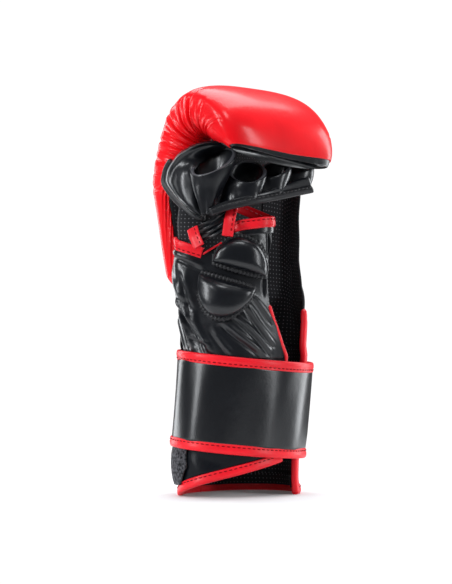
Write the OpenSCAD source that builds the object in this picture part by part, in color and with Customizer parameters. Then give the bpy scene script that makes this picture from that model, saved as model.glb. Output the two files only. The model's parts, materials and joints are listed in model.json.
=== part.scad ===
// Sparring mma glove for the left hand, standing on its cuff.
// +Z runs from the cuff to the fingers, the palm faces -Y, the back of the hand +Y and the thumb side -X.
// The body of the glove is an oval tube. A place on it is an angle round the tube and a height:
// 0 degrees is the middle of the palm, 90 the little finger side, 180 the back and -90 the thumb side.

/* [Wrist and cuff] */
// Half width of the wrist oval, side to side
wrist_half_w = 49; // [44:0.5:56]
// Half depth of the wrist oval, palm to back
wrist_half_d = 37; // [32:0.5:42]
// Height where the cuff ends and the hand part begins
cuff_top = 100; // [90:1:106]
// Angle of the thumb-side edge of the slit
slit_near = 8; // [2:1:14]
// Angle of the little-finger-side edge of the slit
slit_far = 40; // [34:1:48]
// Thickness of one layer of leather or lining
layer = 1.5; // [1:0.1:2]
// Height of a folded edge binding
binding = 7; // [5:0.5:9]

/* [Strap] */
// Width of the strap with its two bindings
strap_w = 66; // [56:1:70]
// Height of the middle of the strap
strap_mid = 62; // [58:1:64]
// Angle where the fixed part of the strap is sewn on
strap_root = -150; // [-158:1:-140]
// Angle of the fold where the strap tail lifts
strap_fold = 95; // [88:1:100]
// Angle of the free end of the strap tail
tail_end = 203; // [180:1:205]

/* [Padding] */
// Half width of the padding over the knuckles
pad_half_w = 54.5; // [52:0.5:58]
// Half thickness of the padding over the knuckles
pad_half_t = 17; // [14:0.5:18]
// Distance from the knuckle line up to the middle of the curl
curl_rise = 51; // [46:1:54]
// Distance from the middle of the curl to the knuckle line, palm to back
curl_reach = 36; // [35:1:38]
// How far the padding curls over towards the palm, in degrees
curl_angle = 150; // [140:1:156]
// Height of the knuckle fold
knuckle_z = 212; // [208:1:216]

/* [Finger loops] */
// Distance from one finger loop to the next
loop_pitch = 25.2; // [24.4:0.2:26]
// Inside radius of a finger loop
loop_r = 10.2; // [9:0.1:10.4]
// Length of a finger loop
loop_len = 22; // [18:1:24]
// Lean of the finger loops towards the palm, in degrees
loop_lean = 20; // [10:1:22]

/* [Thumb loop] */
// Inside radius of the thumb loop
thumb_r = 13; // [11:0.5:14]
// Height of the thumb loop
thumb_h = 12.5; // [10:0.5:13]

/* [Hidden] */
gap = 0.3;                       // clearance between neighbouring pieces
skin = 1.8;                      // thickness of the padding's cover and lining
red = [0.85, 0.08, 0.1];
black = [0.09, 0.09, 0.1];
grey = [0.3, 0.3, 0.32];
foam = [0.85, 0.82, 0.72];

// Half sizes of the oval at each height
half_w = [[0, wrist_half_w - 3], [30, wrist_half_w], [110, wrist_half_w], [160, wrist_half_w - 2],
          [210, wrist_half_w - 1]];
palm_d = [[0, wrist_half_d - 3], [30, wrist_half_d], [150, wrist_half_d], [210, wrist_half_d - 3]];
back_d = [[0, wrist_half_d - 3], [30, wrist_half_d], [104, wrist_half_d - 1], [134, 10], [210, 8]];

function mix(a, b, t) = a + (b - a) * t;
// A point of the oval tube at angle p and height z, off outside its wall
function oval(p, z, off) = [
    (lookup(z, half_w) + off) * sin(p),
    -(lookup(z, cos(p) > 0 ? palm_d : back_d) + off) * cos(p),
    z
];
// The strap sits a little lower on the little finger side
function lean(v) = [v[0], v[1], v[2] - 0.080 * v[0] + 0.066 * v[1]];

// Closed solid between two grids of points, a on the outside and b on the inside
module slab(a, b) {
    rows = len(a);
    cols = len(a[0]);
    n = rows * cols;
    points = concat([for (row = a) each row], [for (row = b) each row]);
    function at(i, j) = i * cols + j;
    function quad(p, q, r, s) = [[p, r, q], [p, s, r]];
    faces = concat(
        [for (i = [0:rows - 2], j = [0:cols - 2])
            each quad(at(i, j), at(i + 1, j), at(i + 1, j + 1), at(i, j + 1))],
        [for (i = [0:rows - 2], j = [0:cols - 2])
            each quad(n + at(i, j + 1), n + at(i + 1, j + 1), n + at(i + 1, j), n + at(i, j))],
        [for (i = [0:rows - 2]) each quad(at(i + 1, 0), at(i, 0), n + at(i, 0), n + at(i + 1, 0))],
        [for (i = [0:rows - 2])
            each quad(at(i, cols - 1), at(i + 1, cols - 1), n + at(i + 1, cols - 1), n + at(i, cols - 1))],
        [for (j = [0:cols - 2]) each quad(at(0, j), at(0, j + 1), n + at(0, j + 1), n + at(0, j))],
        [for (j = [0:cols - 2])
            each quad(at(rows - 1, j + 1), at(rows - 1, j), n + at(rows - 1, j), n + at(rows - 1, j + 1))]
    );
    polyhedron(points, faces);
}

// A sheet on the oval: place(u, v) gives its angle and height, inner and outer its offsets
module sheet(place, inner, outer, nu, nv, slanted = false) {
    function grid(off) = [for (i = [0:nu]) [for (j = [0:nv])
        let (at = place(i / nu, j / nv), v = oval(at[0], at[1], off(i / nu, j / nv)))
        slanted ? lean(v) : v]];
    slab(grid(outer), grid(inner));
}
function flat(off) = function (u, v) off;
// A plain band from angle p0 to p1 between two heights
module band(p0, p1, z0, z1, inner, outer, nv = 1, slanted = false) {
    steps = max(2, ceil((p1 - p0) / 7));
    sheet(function (u, v) [mix(p0, p1, u), mix(z0, z1, v)], flat(inner), flat(outer), steps, nv, slanted);
}

// ---- cuff ----
seam_angle = -165;               // back seam between the two halves of the cuff
rim_h = 5;                       // height of the rim binding
// The thumb-side flap is cut away upwards to the slit
function flap_low(p) = p < -120 ? 0 : 23 * (p + 120) / (slit_near + 120);
module cuff_thumb_side() {
    color(black)
    sheet(function (u, v) let (p = mix(seam_angle, slit_near, u))
        [p, mix(flap_low(p) + rim_h + gap, cuff_top, v)], flat(-layer), flat(0), 26, 4);
}
module cuff_finger_side() {
    color(black) band(slit_far, seam_angle + 359.6, rim_h + gap, cuff_top, -layer, 0, 4);
}
module cuff_rim_thumb_side() {
    color(red)
    sheet(function (u, v) let (p = mix(seam_angle, slit_near, u))
        [p, flap_low(p) + rim_h * v], flat(-3.6), flat(0.5), 26, 1);
}
module cuff_rim_finger_side() {
    color(red) band(slit_far, seam_angle + 359.6, 0, rim_h, -3.6, 0.5);
}
module cuff_lining() {
    color(black) {
        sheet(function (u, v) let (p = mix(seam_angle, slit_near, u))
            [p, mix(flap_low(p) + rim_h + gap, cuff_top, v)],
            flat(-2 * layer - gap), flat(-layer - gap), 26, 4);
        band(slit_far, seam_angle + 359.6, rim_h + gap, cuff_top, -2 * layer - gap, -layer - gap, 4);
    }
}
module slit_binding_near() {
    color(red) band(slit_near + 0.4, slit_near + 4, 29, 126, -3.2, 0.6, 8);
}
module slit_binding_far() {
    color(red) band(slit_far - 4, slit_far - 0.4, 1, 124, -3.2, 0.6, 8);
}
// Woven loop panel that the strap tail grips
module loop_panel() {
    color(grey) band(101, 250, rim_h + 3, cuff_top - 3, 0.3, 1.3, 4);
}

// ---- strap ----
strap_in = 1.7;                  // offset of the strap's inner face
strap_out = 3.8;                 // offset of its outer face
edge_in = 1.65;                  // the bindings wrap the edge and stand proud
edge_out = 4.3;
strap_low = strap_mid - strap_w / 2;
strap_high = strap_mid + strap_w / 2;
fixed_end = strap_fold - 2.6;
tail_start = strap_fold + 2.6;
module strap_band() {
    color(black) band(strap_root, fixed_end, strap_low + binding + gap, strap_high - binding - gap,
        strap_in, strap_out, 4, true);
}
module strap_edge(p0, p1, z, inner, outer) {
    color(red) band(p0, p1, z, z + binding, inner, outer, 1, true);
}
module strap_top_binding() { strap_edge(strap_root, fixed_end, strap_high - binding, edge_in, edge_out); }
module strap_bottom_binding() { strap_edge(strap_root, fixed_end, strap_low, edge_in, edge_out); }
tail_in = 2.5;
tail_out = 4.4;
module strap_tail() {
    color(black) band(tail_start, tail_end, strap_low + binding + gap, strap_high - binding - gap,
        tail_in, tail_out, 4, true);
}
module tail_top_binding() { strap_edge(tail_start, tail_end, strap_high - binding, 2.1, 4.8); }
module tail_bottom_binding() { strap_edge(tail_start, tail_end, strap_low, 2.1, 4.8); }
module tail_end_binding() {
    color(red) band(tail_end + 0.4, tail_end + 4, strap_low, strap_high, 2.1, 4.8, 4, true);
}
module hook_patch() {
    color(grey) band(tail_end - 50, tail_end - 3, strap_low + 12, strap_high - 12, 1.75, 2.2, 4, true);
}

// ---- hand part ----
panel_low = cuff_top + gap;
// Angle of the open palm's two edges at each height
near_edge = [[100, 6], [128, -7], [147, -10], [181, -3]];
far_edge = [[100, 40], [124, 52], [142, 74], [205, 76]];
module wrist_panel() {
    color(black)
    band(127.2, 254, panel_low, 160, -layer, 0, 10);
}
module little_finger_wall() {
    color(black)
    sheet(function (u, v) let (z = mix(panel_low, 194, v)) [mix(lookup(z, far_edge), 126, u), z],
        flat(-layer), flat(0), 9, 12);
}
heel_start = -105.6;
// Top edge of the palm heel panel, higher towards the thumb loop
function heel_top(p) = p < -60 ? 167 : 167 + 12.5 * min(1, (p + 60) / 35);
module palm_heel_panel() {
    color(black)
    sheet(function (u, v) let (
            z0 = mix(panel_low, 175, v),
            p = mix(heel_start, lookup(z0, near_edge), u))
        [p, mix(panel_low, heel_top(p), v)], flat(-layer), flat(0), 14, 10);
}
// A pad is a dome over a patch of the heel panel
function dome(u, v, h) = h * pow(max(0, sin(180 * u)) * max(0, sin(180 * v)), 0.4);
upper_pad = function (u, v) [mix(-57, -14, u) + 6 * v * (1 - 2 * u), mix(148, 176, v) - 9 * (1 - u) * (v - 0.4)];
lower_pad = function (u, v) [mix(-72, -24, u), mix(mix(127, 120, sin(180 * u)), mix(151, 143, u), v)];
pad_h = 8;
pad_cover_t = 1.4;
module pad_cover(place) {
    color(black) sheet(place,
        function (u, v) gap + dome(u, v, pad_h), function (u, v) gap + pad_cover_t + dome(u, v, pad_h), 10, 8);
}
module pad_core(place) {
    color(foam) sheet(function (u, v) place(mix(0.1, 0.9, u), mix(0.1, 0.9, v)), flat(gap),
        function (u, v) 1 + dome(mix(0.1, 0.9, u), mix(0.1, 0.9, v), pad_h - 3), 8, 6);
}
module upper_palm_pad() { pad_cover(upper_pad); }
module lower_palm_pad() { pad_cover(lower_pad); }
module upper_pad_foam() { pad_core(upper_pad); }
module lower_pad_foam() { pad_core(lower_pad); }
module thumb_gusset() {
    color(black) band(-121, -78, 172.4, 196, -layer, 0, 4);
}
module gusset_binding() {
    color(red) band(-121, -78, 167.6, 172, -2.4, 0.6);
}

// ---- padding: an oblong section swept up the back of the hand and over the fingers ----
curl_y = -7.8;                    // middle of the curl
pad_foot_z = 139;                // foot of the padding
side_drop = 0.1;                 // the fingertips sit lower on the little finger side
foot_lean = 4;                   // how far the foot leans in towards the wrist
knuckle_y = curl_y + curl_reach; // middle of the padding at the knuckle fold
// The sweep's parameter s runs from -1 at the foot through 0 at the knuckle fold to 1 at the fingertips
function centre(s) = s < 0
    ? [knuckle_y + foot_lean * s, mix(knuckle_z, pad_foot_z, -s)]
    : [curl_y + curl_reach * cos(curl_angle * s), knuckle_z + curl_rise * sin(curl_angle * s)];
function outward(s) = s < 0 ? [1, 0]
    : let (a = curl_angle * s, n = [cos(a) / curl_reach, sin(a) / curl_rise]) n / norm(n);
// Half width and half thickness along the sweep, rounded off at both ends
function end_round(s) = sqrt(max(0.05, 1 - pow(max(0, (abs(s) - 0.84) / 0.16), 2)));
function sweep_w(s) = (s < 0 ? mix(pad_half_w, 44, -s) : mix(pad_half_w, 54, s * s)) * (0.75 + 0.25 * end_round(s));
function sweep_t(s) = (s < 0 ? mix(pad_half_t, 12, -s) : mix(pad_half_t, 13, s * s)) * end_round(s);
function power(v, e) = sign(v) * pow(abs(v), e);
// A point of the padding: s along the sweep, t round its section (90 is outside), in below the surface
function pad_point(s, t, in) = let (
        c = centre(s), n = outward(s),
        x = (sweep_w(s) - in) * power(cos(t), 0.75),
        h = max(1, sweep_t(s) - in) * power(sin(t), 0.8))
    [x, c[0] + n[0] * h, c[1] + n[1] * h - side_drop * max(0, s) * x];
module pad_sheet(s0, s1, t0, t1, steps, nt) {
    function grid(in) = [for (j = [0:nt]) [for (i = [0:steps])
        pad_point(mix(s0, s1, i / steps), mix(t1, t0, j / nt), in)]];
    slab(grid(0), grid(skin));
}
module pad_solid(s0, s1, in, steps, nt) {
    points = [for (i = [0:steps], j = [0:nt - 1]) pad_point(mix(s0, s1, i / steps), 360 * j / nt, in)];
    sides = [for (i = [0:steps - 1], j = [0:nt - 1]) let (
            a = i * nt + j, b = i * nt + (j + 1) % nt, c = b + nt, d = a + nt)
        each [[a, b, c], [a, c, d]]];
    first = [for (j = [1:nt - 2]) [0, j + 1, j]];
    last = [for (j = [1:nt - 2]) [steps * nt, steps * nt + j, steps * nt + j + 1]];
    polyhedron(points, concat(sides, first, last));
}
fold_r = 14;                     // radius of the foam roll at the knuckle fold
fold_w = 94;                     // its length
hand_top_s = -0.27;              // the hand part's cover and lining stop below the fold
core = skin + gap;
module hand_pad_foam() {
    color(foam) pad_solid(-0.98, hand_top_s, core, 6, 32);
}
module hand_pad_cover() { color(red) pad_sheet(-0.98, hand_top_s, -25, 205, 6, 24); }
module hand_pad_lining() { color(black) pad_sheet(-0.98, hand_top_s, 207, 333, 6, 12); }
module knuckle_foam() {
    color(foam) translate([-fold_w / 2, knuckle_y, knuckle_z]) rotate([0, 90, 0])
        cylinder(r = fold_r, h = fold_w, $fn = 48);
}
finger_s = 0.17;                 // the finger part's sweep starts clear of the roll
module finger_pad_foam() { color(foam) pad_solid(finger_s, 0.98, core, 14, 32); }
module finger_pad_cover() { color(red) pad_sheet(finger_s, 0.98, -25, 205, 14, 24); }
module finger_pad_lining() { color(black) pad_sheet(finger_s, 0.93, 207, 333, 13, 12); }
// Black edge of the lining, folded out along the fingertips
module fingertip_band() {
    color(black) pad_sheet(0.945, 0.98, 207, 333, 2, 12);
}

// ---- finger loops ----
first_x = -38.5;                  // middle of the index loop
loop_y = -9;                     // middle of the loops' lower ends
loop_z = 205;
loop_wall = 1.8;
module finger_loop(n) {
    color(black) translate([first_x + n * loop_pitch, loop_y, loop_z + n]) rotate([loop_lean, 0, 0])
    difference() {
        cylinder(r = loop_r + loop_wall, h = loop_len, $fn = 40);
        translate([0, 0, -1]) cylinder(r = loop_r, h = loop_len + 2, $fn = 40);
    }
}
module index_loop() { finger_loop(0); }
module middle_loop() { finger_loop(1); }
module ring_loop() { finger_loop(2); }
module little_loop() { finger_loop(3); }
// Padded bar that the fingertips close on
bar_x = [-28, 37];               // ends of the bar
bar_y = -32.5;
bar_z = [211, 217];              // height of its middle at each end
bar_r = 5;
trim_r = 2.2;                    // radius of the bar's folded lower edge
bar_drop = 7;                    // the binding hangs this far below the middle of the bar
module bar_run(r, drop, y) {
    hull() for (i = [0, 1]) translate([bar_x[i], y, bar_z[i] - drop]) sphere(r = r, $fn = 24);
}
module grip_bar() { color(black) bar_run(bar_r, 0, bar_y); }
module grip_bar_binding() { color(black) bar_run(trim_r, bar_drop + 0.5, bar_y - 1); }

// ---- thumb loop ----
thumb_x = -14;
thumb_y = -26;
thumb_z = 183;
thumb_wall = 2;
trim_h = 3;
module thumb_ring(z, h, r0, r1) {
    translate([thumb_x, thumb_y, z]) difference() {
        cylinder(r = r1, h = h, $fn = 40);
        translate([0, 0, -1]) cylinder(r = r0, h = h + 2, $fn = 40);
    }
}
module thumb_loop() {
    color(black) thumb_ring(thumb_z + trim_h + 0.1, thumb_h - 2 * trim_h - 0.2, thumb_r, thumb_r + thumb_wall);
}
module thumb_loop_top_binding() {
    color(red) thumb_ring(thumb_z + thumb_h - trim_h, trim_h, thumb_r - 0.4, thumb_r + thumb_wall + 0.4);
}
module thumb_loop_bottom_binding() {
    color(red) thumb_ring(thumb_z, trim_h, thumb_r - 0.4, thumb_r + thumb_wall + 0.4);
}
web_start = -73;                 // the web strap reaches from the side opening to the thumb loop
web_end = -51;
module web_strap() {
    color(black) sheet(function (u, v) [mix(web_start, web_end, u), mix(mix(173, 184, u), mix(187, 194, u), v)],
        flat(-1), flat(1), 6, 4);
}
module web_tab() {
    color(red) sheet(function (u, v) [mix(web_start, web_start + 8, u), mix(173, 185, v)],
        flat(1.2), flat(2.2), 2, 4);
}

cuff_thumb_side();
cuff_finger_side();
cuff_rim_thumb_side();
cuff_rim_finger_side();
cuff_lining();
slit_binding_near();
slit_binding_far();
loop_panel();
strap_band();
strap_top_binding();
strap_bottom_binding();
wrist_panel();
little_finger_wall();
palm_heel_panel();
upper_palm_pad();
lower_palm_pad();
upper_pad_foam();
lower_pad_foam();
thumb_gusset();
gusset_binding();
hand_pad_foam();
hand_pad_cover();
hand_pad_lining();
knuckle_foam();
finger_pad_foam();
finger_pad_cover();
finger_pad_lining();
fingertip_band();
index_loop();
middle_loop();
ring_loop();
little_loop();
grip_bar();
grip_bar_binding();
thumb_loop();
thumb_loop_top_binding();
thumb_loop_bottom_binding();
web_strap();
web_tab();
strap_tail();
tail_top_binding();
tail_bottom_binding();
tail_end_binding();
hook_patch();
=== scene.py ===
# %% [markdown]
# # A padded sparring glove, standing on its cuff
# The CAD model is the fixed frame: it says where every piece is and which body carries it. Everything
# soft is built again here as real leather, lining and tape, in the same place and at the same size.

# %% Load the fixed frame
import json
import math
import bpy
import numpy as np
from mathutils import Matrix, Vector


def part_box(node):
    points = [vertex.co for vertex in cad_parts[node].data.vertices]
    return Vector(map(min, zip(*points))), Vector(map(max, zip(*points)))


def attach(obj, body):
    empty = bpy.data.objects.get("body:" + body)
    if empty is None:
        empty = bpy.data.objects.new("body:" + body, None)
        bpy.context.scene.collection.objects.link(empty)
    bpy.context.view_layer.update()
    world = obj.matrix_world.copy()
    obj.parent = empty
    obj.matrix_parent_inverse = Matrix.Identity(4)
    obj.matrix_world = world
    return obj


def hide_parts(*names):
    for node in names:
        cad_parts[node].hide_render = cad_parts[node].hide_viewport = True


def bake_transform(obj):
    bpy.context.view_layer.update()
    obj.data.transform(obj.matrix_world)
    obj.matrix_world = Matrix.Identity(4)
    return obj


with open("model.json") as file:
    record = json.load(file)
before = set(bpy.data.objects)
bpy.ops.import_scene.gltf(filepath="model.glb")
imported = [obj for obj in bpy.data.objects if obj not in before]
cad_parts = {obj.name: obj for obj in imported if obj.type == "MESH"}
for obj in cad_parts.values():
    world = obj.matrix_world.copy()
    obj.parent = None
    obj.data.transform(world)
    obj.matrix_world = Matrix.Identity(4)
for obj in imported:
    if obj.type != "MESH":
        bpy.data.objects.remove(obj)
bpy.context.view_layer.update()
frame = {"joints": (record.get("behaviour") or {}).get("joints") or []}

# %% [markdown]
# A glove is easiest to measure in millimetres, so the helpers below take millimetres and only
# `build_mesh` turns them into metres. Every driving size is read from the boxes of the CAD pieces.

# %% Driving sizes
MM = 0.001


def box_mm(node):
    low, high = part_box(node)
    return np.array(low) / MM, np.array(high) / MM


joint_at = {j["name"]: np.array(j["pos_m"]) / MM for j in frame["joints"]}
wrist_w, wrist_d, cuff_top = box_mm("cuff_finger_side")[1]
pad_w, _, pad_top = box_mm("finger_pad_cover")[1]
knuckle = joint_at["knuckle_flex"]
pad_foot = box_mm("hand_pad_cover")[0][2]
print("wrist", wrist_w, wrist_d, "padding half width", pad_w, "top", pad_top, "foot", pad_foot)

# %% [markdown]
# ## Camera and light
# A long lens far away keeps the glove's proportions, as for a catalogue. The camera stands between the
# thumb side and the palm, level with the middle of the glove. A large soft light above and narrow ones
# at the sides give leather its broad highlights, and two small ones in front find the folds. The world
# is white where the camera looks straight at it, but hardly lights the leather, so black stays black.

# %% Camera
def add_object(name, data):
    item = bpy.data.objects.new(name, data)
    bpy.context.scene.collection.objects.link(item)
    return item


VIEW_AZ = -40.0
LENS_MM = 180.0
DISTANCE = 2.0
az = math.radians(VIEW_AZ)
right = Vector((math.cos(az), math.sin(az), 0))
back = Vector((math.sin(az), -math.cos(az), 0))
aim = right * -0.0105 + Vector((0, 0, 0.1385))
camera_data = bpy.data.cameras.new("camera")
camera_data.lens = LENS_MM
camera = add_object("camera", camera_data)
camera.location = aim + back * DISTANCE + Vector((0, 0, 0.02))
camera.rotation_euler = (aim - camera.location).to_track_quat("-Z", "Y").to_euler()
bpy.context.scene.camera = camera
print("camera at", tuple(round(c, 3) for c in camera.location))


# %% Lights, floor and world
COOL_WHITE = (0.94, 0.97, 1.0)
LIT_POINT = Vector((0, 0, 0.15))


def soft_light(name, place, size, power):
    data = bpy.data.lights.new(name, "AREA")
    data.shape = "RECTANGLE"
    data.size = size[0]
    data.size_y = size[1]
    data.energy = power
    data.color = COOL_WHITE
    light = add_object(name, data)
    light.location = place
    light.rotation_euler = (LIT_POINT - place).to_track_quat("-Z", "Y").to_euler()


# Name, place in metres (right, towards the camera, up), size in metres, power in watts.
LIGHTS = [
    ("top_soft", (0.05, -0.35, 1.25), (1.1, 1.0), 23.5),
    ("left_soft", (-1.05, 0.6, 0.45), (0.3, 0.8), 12),
    ("right_soft", (1.05, 0.5, 0.35), (0.2, 0.8), 6),
    ("left_rim", (-0.85, -0.75, 0.3), (0.5, 1.0), 8),
    ("right_rim", (0.95, -0.6, 0.3), (0.35, 1.0), 8),
    ("front_high", (0.35, 1, 1.55), (0.4, 0.4), 7),
    ("front_fill", (-1.1, 1.6, 1.2), (0.35, 0.35), 8),
]
for name, (sideways, forward, height), size, power in LIGHTS:
    soft_light(name, right * sideways + back * forward + Vector((0, 0, height)), size, power)
WORLD_AS_LIGHT, WORLD_AS_SEEN = 0.07, 1.05
world = bpy.data.worlds.new("studio")
world.use_nodes = True
surround = world.node_tree.nodes["Background"]
surround.inputs["Color"].default_value = (1, 1, 1, 1)
rays = world.node_tree.nodes.new("ShaderNodeLightPath")
level = world.node_tree.nodes.new("ShaderNodeMapRange")
level.inputs["To Min"].default_value = WORLD_AS_LIGHT
level.inputs["To Max"].default_value = WORLD_AS_SEEN
world.node_tree.links.new(rays.outputs["Is Camera Ray"], level.inputs["Value"])
world.node_tree.links.new(level.outputs["Result"], surround.inputs["Strength"])
bpy.context.scene.world = world
bpy.context.scene.view_settings.view_transform = "Standard"

# %% [markdown]
# ## Finishes
# Coated leather has a fine pebble grain, soft wrinkles and a clear top coat, so it shows broad soft
# highlights. The cuff's leather and the tape of the bindings are duller. The lining is a matt mesh with
# a regular grid of small holes.


# %% Leather
def new_material(name, colour, rough, coat=0.0, coat_rough=0.2, specular=0.5, sheen=0.0):
    material = bpy.data.materials.new(name)
    material.use_nodes = True
    shader = material.node_tree.nodes["Principled BSDF"]
    shader.inputs["Base Color"].default_value = (*colour, 1)
    shader.inputs["Roughness"].default_value = rough
    shader.inputs["Coat Weight"].default_value = coat
    shader.inputs["Coat Roughness"].default_value = coat_rough
    shader.inputs["Specular IOR Level"].default_value = specular
    shader.inputs["Sheen Weight"].default_value = sheen
    return material, material.node_tree, shader


def add_node(tree, kind, **values):
    node = tree.nodes.new(kind)
    for key, value in values.items():
        if hasattr(node, key):
            setattr(node, key, value)
        else:
            node.inputs[key.replace("_", " ").title()].default_value = value
    return node


def two_tone(tree, low, high, dark, light):
    ramp = tree.nodes.new("ShaderNodeValToRGB")
    for stop, place, colour in zip(ramp.color_ramp.elements, (low, high), (dark, light)):
        stop.position = place
        stop.color = (*colour, 1)
    return ramp


def join(tree, *wires):
    """Each wire is (from node, output, to node, input)."""
    for source, output, target, socket in wires:
        tree.links.new(source.outputs[output], target.inputs[socket])


TONE_PATCH = 0.12
PEBBLE = 900.0


def leather(name, colour, rough, coat, coat_rough, grain=0.12, specular=0.25, creased=0.22):
    material, tree, shader = new_material(name, colour, rough, coat, coat_rough, specular)
    place = tree.nodes.new("ShaderNodeTexCoord")
    tone = add_node(tree, "ShaderNodeTexNoise", Scale=28.0, Detail=3.0)
    worn = [c * (1 - TONE_PATCH) for c in colour]
    fresh = [min(1, c * (1 + TONE_PATCH)) for c in colour]
    ramp = two_tone(tree, 0.3, 0.7, worn, fresh)
    grain_cells = add_node(tree, "ShaderNodeTexVoronoi", Scale=PEBBLE)
    fine = add_node(tree, "ShaderNodeTexNoise", Scale=PEBBLE * 0.6, Detail=2.0)
    height = add_node(tree, "ShaderNodeMath", operation="ADD")
    bump = add_node(tree, "ShaderNodeBump", Strength=grain, Distance=0.0003)
    wrinkle = add_node(tree, "ShaderNodeTexNoise", Scale=95.0, Detail=5.0, Roughness=0.6)
    soft_bump = add_node(tree, "ShaderNodeBump", Strength=creased, Distance=0.0012)
    shine = add_node(tree, "ShaderNodeMapRange", To_Min=rough * 0.85, To_Max=rough * 1.2)
    for texture in (tone, grain_cells, fine, wrinkle):
        join(tree, (place, "Object", texture, "Vector"))
    join(tree,
         (tone, "Fac", ramp, "Fac"),
         (ramp, "Color", shader, "Base Color"),
         (tone, "Fac", shine, "Value"),
         (shine, "Result", shader, "Roughness"),
         (grain_cells, "Distance", height, 0),
         (fine, "Fac", height, 1),
         (height, "Value", bump, "Height"),
         (wrinkle, "Fac", soft_bump, "Height"),
         (soft_bump, "Normal", bump, "Normal"),
         (bump, "Normal", shader, "Normal"))
    return material


RED = (0.85, 0.006, 0.012)
BLACK = (0.004, 0.0048, 0.007)
red_leather = leather("red leather", RED, 0.38, 0.34, 0.18, specular=0.1)
red_tape = leather("red tape", (0.76, 0.008, 0.018), 0.42, 0.12, 0.25, grain=0.2, specular=0.2)
black_leather = leather("black leather", BLACK, 0.34, 0.45, 0.22, specular=0.3, creased=0.4)
cuff_leather = leather("cuff leather", BLACK, 0.4, 0.12, 0.2, specular=0.05, creased=0.5)
black_tape = leather("black tape", (0.012, 0.012, 0.014), 0.45, 0.1, 0.3, grain=0.2)
strap_leather = leather("strap leather", (0.006, 0.0066, 0.0085), 0.3, 0.25, 0.2, grain=0.1, specular=0.3)
thread_red = new_material("dark red thread", (0.2, 0.002, 0.006), 0.7, specular=0.1)[0]
# The finger loops' rolled seams are a lighter grey than the black leather: a painted highlight along their
# edge.
painted_highlight_edge = new_material("painted edge highlight", (0.075, 0.075, 0.085), 0.4, coat=0.3)[0]
thread_pale = new_material("pale red thread", (0.75, 0.12, 0.16), 0.6)[0]
thread_black = new_material("black thread", (0.012, 0.012, 0.013), 0.55, sheen=0.3)[0]


# %% [markdown]
# The holes of the lining are drawn in the surface's own coordinates, which the meshes below carry in
# decimetres along both directions, so the grid keeps its pitch however the sheet bends.

# %% Perforated lining, pile and foam
MESH_DARK = (0.010, 0.010, 0.012)
HOLE_PITCH = 2.7
HOLE_RADIUS = 0.14


def perforated(name):
    material, tree, shader = new_material(name, MESH_DARK, 0.75, sheen=0.1, specular=0.15)
    uv = tree.nodes.new("ShaderNodeTexCoord")
    scale = add_node(tree, "ShaderNodeVectorMath", operation="SCALE", Scale=100.0 / HOLE_PITCH)
    cell = add_node(tree, "ShaderNodeVectorMath", operation="FRACTION")
    centre = add_node(tree, "ShaderNodeVectorMath", operation="DISTANCE")
    centre.inputs[1].default_value = (0.5, 0.5, 0)
    inside = add_node(tree, "ShaderNodeMapRange", From_Min=HOLE_RADIUS * 0.7, From_Max=HOLE_RADIUS * 1.3,
                      To_Min=1.0, To_Max=0.0)
    colour = add_node(tree, "ShaderNodeMix", data_type="RGBA")
    colour.inputs["A"].default_value = (*MESH_DARK, 1)
    colour.inputs["B"].default_value = (0.13, 0.13, 0.14, 1)
    weave = add_node(tree, "ShaderNodeTexNoise", Scale=2500.0)
    bump = add_node(tree, "ShaderNodeBump", Strength=0.25, Distance=0.0003)
    join(tree,
         (uv, "UV", scale, 0),
         (scale, "Vector", cell, 0),
         (cell, "Vector", centre, 0),
         (centre, "Value", inside, "Value"),
         (inside, "Result", colour, "Factor"),
         (colour, "Result", shader, "Base Color"),
         (uv, "Object", weave, "Vector"),
         (weave, "Fac", bump, "Height"),
         (bump, "Normal", shader, "Normal"))
    return material


def fuzzy(name, dark, light, scale, sheen=0.4):
    material, tree, shader = new_material(name, dark, 0.95, sheen=sheen, specular=0.1)
    place = tree.nodes.new("ShaderNodeTexCoord")
    nap = add_node(tree, "ShaderNodeTexNoise", Scale=scale, Detail=4.0)
    ramp = two_tone(tree, 0.35, 0.68, dark, light)
    bump = add_node(tree, "ShaderNodeBump", Strength=0.8, Distance=0.001)
    join(tree,
         (place, "Object", nap, "Vector"),
         (nap, "Fac", ramp, "Fac"),
         (ramp, "Color", shader, "Base Color"),
         (nap, "Fac", bump, "Height"),
         (bump, "Normal", shader, "Normal"))
    return material


lining_mesh = perforated("perforated lining")
pile = fuzzy("grey loop pile", (0.003, 0.003, 0.004), (0.09, 0.09, 0.1), 520.0, 0.12)
hooks = fuzzy("black hook tape", (0.01, 0.01, 0.011), (0.06, 0.06, 0.065), 1500.0)
foam = fuzzy("cream foam", (0.62, 0.57, 0.45), (0.78, 0.73, 0.6), 600.0)
print("finishes:", [m.name for m in bpy.data.materials])

# %% [markdown]
# ## Helpers for sewn goods
# Nearly everything here is one of two things: a sheet, given as a grid of points, or a tape folded over
# an edge, which is a small rounded section swept along a line. Two helpers make both, and a third sews
# stitches.


# %% Sheet and tape helpers
def unit(v):
    length = np.linalg.norm(v, axis=-1, keepdims=True)
    return v / np.maximum(length, 1e-9)


def heading(path):
    return unit(np.gradient(path, axis=0))


def arc_lengths(grid):
    along = np.linalg.norm(np.diff(grid, axis=0), axis=2).mean(axis=1)
    across = np.linalg.norm(np.diff(grid, axis=1), axis=2).mean(axis=0)
    return np.concatenate([[0], np.cumsum(along)]), np.concatenate([[0], np.cumsum(across)])


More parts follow.
